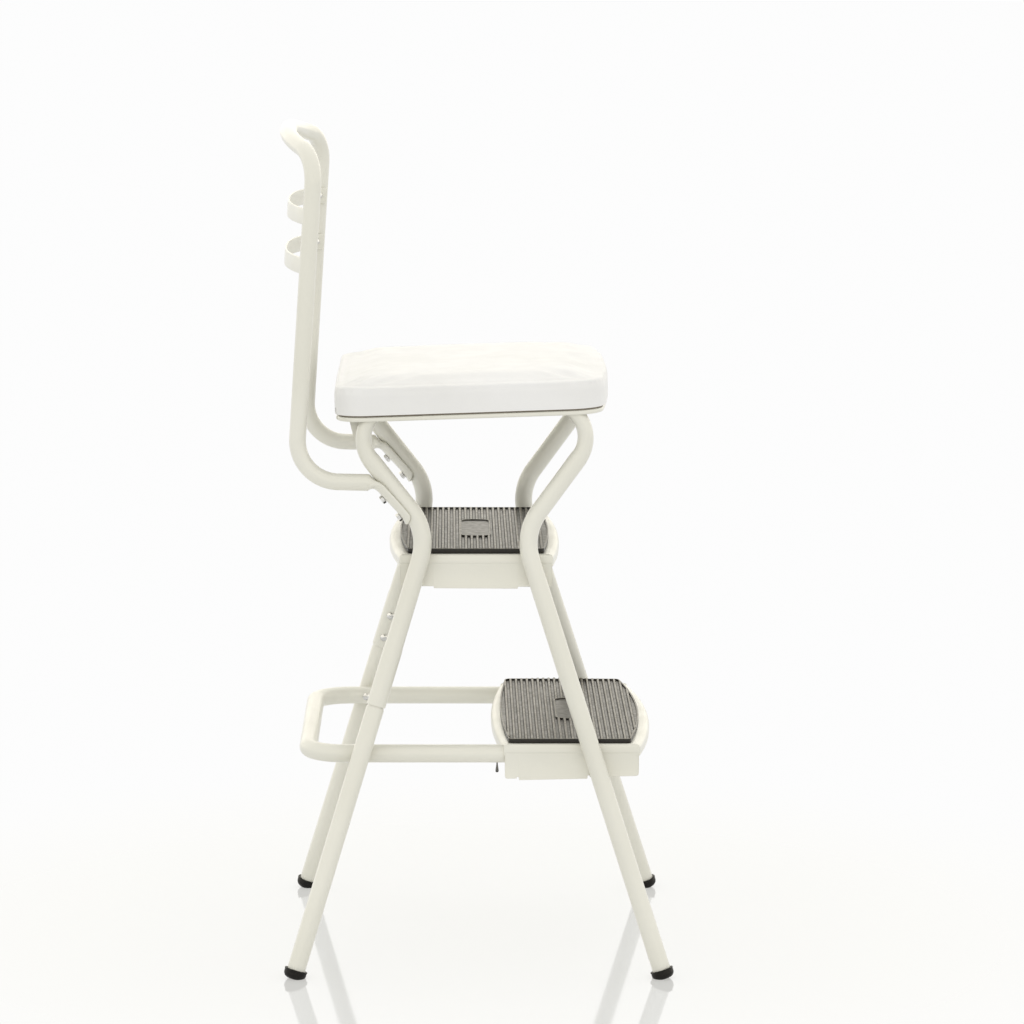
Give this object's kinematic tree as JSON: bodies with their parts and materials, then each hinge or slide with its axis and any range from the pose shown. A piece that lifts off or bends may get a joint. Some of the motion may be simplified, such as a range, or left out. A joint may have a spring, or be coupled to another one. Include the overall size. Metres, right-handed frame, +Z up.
{
  "type": "step stool chair",
  "caption": "Counter-height chair with bent-tube side frames, curved slatted back, padded seat that tips up, and ribbed upper and lower steps.",
  "frame": {"origin": "floor point under the middle of the chair's bounding box", "axes": "+X the way the chair faces, +Y to the sitter's left, +Z up"},
  "size_m": [0.4138, 0.4582, 0.8803],
  "materials": {
    "enamel": "satin",
    "vinyl": "satin",
    "rubber": "matte",
    "zinc": "satin",
    "dark_steel": "satin"
  },
  "bodies": {
    "frame": {"side_tube_left": "enamel", "side_tube_right": "enamel", "rear_leg_left": "enamel", "rear_leg_right": "enamel", "back_hoop": "enamel", "slat_upper": "enamel", "slat_lower": "enamel", "upper_step_tray": "enamel", "lower_step_tray": "enamel", "lower_u_brace": "enamel", "rear_cross_member": "enamel", "front_cross_strap": "enamel", "upper_step_mat": "rubber", "lower_step_mat": "rubber", "foot_cap_front_left": "rubber", "foot_cap_front_right": "rubber", "foot_cap_rear_left": "rubber", "foot_cap_rear_right": "rubber", "upper_step_screw_front_left": "zinc", "upper_step_screw_rear_left": "zinc", "socket_screw_1_left": "zinc", "socket_screw_2_left": "zinc", "back_screw_1_left": "zinc", "back_screw_2_left": "zinc", "cross_screw_1_left": "zinc", "cross_screw_2_left": "zinc", "strap_screw_left": "zinc", "brace_screw_left": "zinc", "lower_step_screw_left": "zinc", "slat_rivet_upper_left": "zinc", "slat_rivet_lower_left": "zinc", "hinge_pin_left": "zinc", "upper_step_screw_front_right": "zinc", "upper_step_screw_rear_right": "zinc", "socket_screw_1_right": "zinc", "socket_screw_2_right": "zinc", "back_screw_1_right": "zinc", "back_screw_2_right": "zinc", "cross_screw_1_right": "zinc", "cross_screw_2_right": "zinc", "strap_screw_right": "zinc", "brace_screw_right": "zinc", "lower_step_screw_right": "zinc", "slat_rivet_upper_right": "zinc", "slat_rivet_lower_right": "zinc", "hinge_pin_right": "zinc", "rail_pin_left": "dark_steel", "rail_pin_right": "dark_steel"},
    "seat": {"seat_pan": "enamel", "seat_hinge_ear_left": "enamel", "seat_hinge_ear_right": "enamel", "seat_cushion": "vinyl", "seat_bumper_left": "rubber", "seat_bumper_right": "rubber"}
  },
  "joints": [
    {"name": "seat_flip", "type": "hinge", "parent": "frame", "child": "seat", "pos_m": [-0.13577, 0, 0.59003], "axis": [0, -1, 0], "range_deg": [0, 86]}
  ]
}
